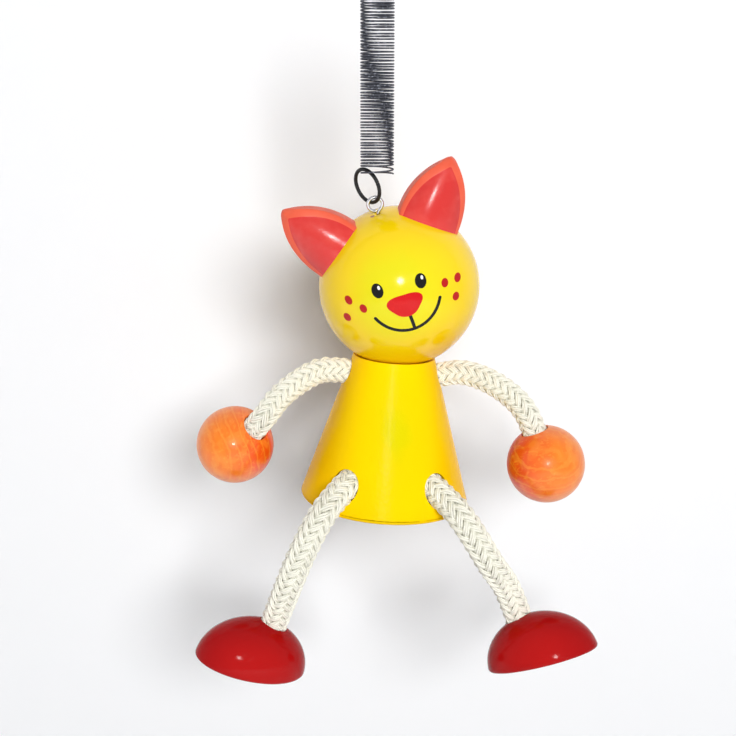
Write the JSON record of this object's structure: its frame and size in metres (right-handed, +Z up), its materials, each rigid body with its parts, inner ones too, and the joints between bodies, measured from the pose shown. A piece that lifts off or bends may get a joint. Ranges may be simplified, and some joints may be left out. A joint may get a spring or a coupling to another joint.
{
  "type": "wooden spring toy",
  "caption": "Hanging wooden toy cat on a coil spring: ball head with pointed ears, cone body, rope arms with ball hands and rope legs with half-egg feet.",
  "frame": {"origin": "inner top of the hanging ring, where a hook or nail carries the toy", "axes": "+Z up along the hanging line, the face looks along -Y, +X to the viewer's right"},
  "size_m": [0.1128, 0.0599, 0.1965],
  "materials": {
    "black_wire": "satin black",
    "spring_steel": "dark drawn wire",
    "bright_steel": "bright",
    "yellow_lacquer_head": "gloss yellow lacquer, painted face",
    "yellow_lacquer_body": "gloss yellow lacquer",
    "red_lacquer_ears": "gloss red lacquer",
    "red_lacquer_feet": "high gloss deep red lacquer",
    "orange_stain": "clear lacquer over orange stain, grain showing",
    "cotton_cord": "braided cotton",
    "beech_dowel": "plain beech"
  },
  "bodies": {
    "hanger": {"hanging_ring": "black_wire"},
    "coil": {"spring": "spring_steel"},
    "link": {"link_ring": "black_wire"},
    "head": {"head_ball": "yellow_lacquer_head", "screw_eye": "bright_steel", "left_ear": "red_lacquer_ears", "right_ear": "red_lacquer_ears", "left_ear_dowel": "beech_dowel", "right_ear_dowel": "beech_dowel"},
    "neck": {"neck_cord": "cotton_cord"},
    "torso": {"body_cone": "yellow_lacquer_body"},
    "left_arm": {"left_arm_cord": "cotton_cord"},
    "left_palm": {"left_hand": "orange_stain"},
    "right_arm": {"right_arm_cord": "cotton_cord"},
    "right_palm": {"right_hand": "orange_stain"},
    "left_leg": {"left_leg_cord": "cotton_cord"},
    "left_shoe": {"left_foot": "red_lacquer_feet"},
    "right_leg": {"right_leg_cord": "cotton_cord"},
    "right_shoe": {"right_foot": "red_lacquer_feet"}
  },
  "joints": [
    {"name": "bounce", "type": "slide", "parent": "hanger", "child": "coil", "axis": [0, 0, -1], "range_m": [-0.015, 0.1], "stiffness_N_per_m": 17, "springref_m": -0.0406, "deforming": ["spring"]},
    {"name": "ring_swing", "type": "hinge", "parent": "coil", "child": "link", "pos_m": [0, 0, -0.05538], "axis": [0.342, 0.9397, 0], "range_deg": [-20, 20], "stiffness_Nm_per_rad": 0.02, "springref_deg": -13.18},
    {"name": "eye_swing", "type": "hinge", "parent": "link", "child": "head", "pos_m": [0.00278, 0, -0.0621], "axis": [0.9235, -0.0284, 0.3825], "range_deg": [-20, 20], "stiffness_Nm_per_rad": 0.02, "springref_deg": 7.73},
    {"name": "neck_nod", "type": "hinge", "parent": "head", "child": "neck", "pos_m": [0.01033, 0.00679, -0.08727], "axis": [1, 0, 0], "range_deg": [-12, 12], "stiffness_Nm_per_rad": 0.03, "springref_deg": -3.32, "deforming": ["neck_cord"]},
    {"name": "neck_tilt", "type": "hinge", "parent": "neck", "child": "torso", "pos_m": [0.01033, 0.00679, -0.08727], "axis": [0, 1, 0], "range_deg": [-12, 12], "stiffness_Nm_per_rad": 0.03, "springref_deg": 1.95},
    {"name": "left_shoulder", "type": "hinge", "parent": "torso", "child": "left_arm", "pos_m": [-0.00446, 0.00593, -0.1114], "axis": [0, 1, 0], "range_deg": [-15, 35], "stiffness_Nm_per_rad": 0.03, "springref_deg": 2.01, "deforming": ["left_arm_cord"]},
    {"name": "left_elbow", "type": "hinge", "parent": "left_arm", "child": "left_palm", "pos_m": [-0.02326, -0.00027, -0.1178], "axis": [1, 0, 0], "range_deg": [-35, 35], "stiffness_Nm_per_rad": 0.02, "springref_deg": 0.34},
    {"name": "right_shoulder", "type": "hinge", "parent": "torso", "child": "right_arm", "pos_m": [0.02179, 0.00766, -0.11314], "axis": [0, -1, 0], "range_deg": [-15, 35], "stiffness_Nm_per_rad": 0.03, "springref_deg": 1.89, "deforming": ["right_arm_cord"]},
    {"name": "right_elbow", "type": "hinge", "parent": "right_arm", "child": "right_palm", "pos_m": [0.04119, 0.00246, -0.11725], "axis": [1, 0, 0], "range_deg": [-35, 35], "stiffness_Nm_per_rad": 0.02, "springref_deg": -0.29},
    {"name": "left_hip", "type": "hinge", "parent": "torso", "child": "left_leg", "pos_m": [-0.00467, -0.01148, -0.13915], "axis": [0, 1, 0], "range_deg": [-15, 25], "stiffness_Nm_per_rad": 0.03, "springref_deg": 1.38, "deforming": ["left_leg_cord"]},
    {"name": "left_knee", "type": "hinge", "parent": "left_leg", "child": "left_shoe", "pos_m": [-0.01957, -0.01868, -0.16415], "axis": [1, 0, 0], "range_deg": [-30, 30], "stiffness_Nm_per_rad": 0.02, "springref_deg": 0.29},
    {"name": "right_hip", "type": "hinge", "parent": "torso", "child": "right_leg", "pos_m": [0.02062, -0.00982, -0.14083], "axis": [0, -1, 0], "range_deg": [-15, 25], "stiffness_Nm_per_rad": 0.03, "springref_deg": 1.55, "deforming": ["right_leg_cord"]},
    {"name": "right_knee", "type": "hinge", "parent": "right_leg", "child": "right_shoe", "pos_m": [0.03512, -0.01782, -0.16003], "axis": [1, 0, 0], "range_deg": [-30, 30], "stiffness_Nm_per_rad": 0.02, "springref_deg": 0.17}
  ]
}
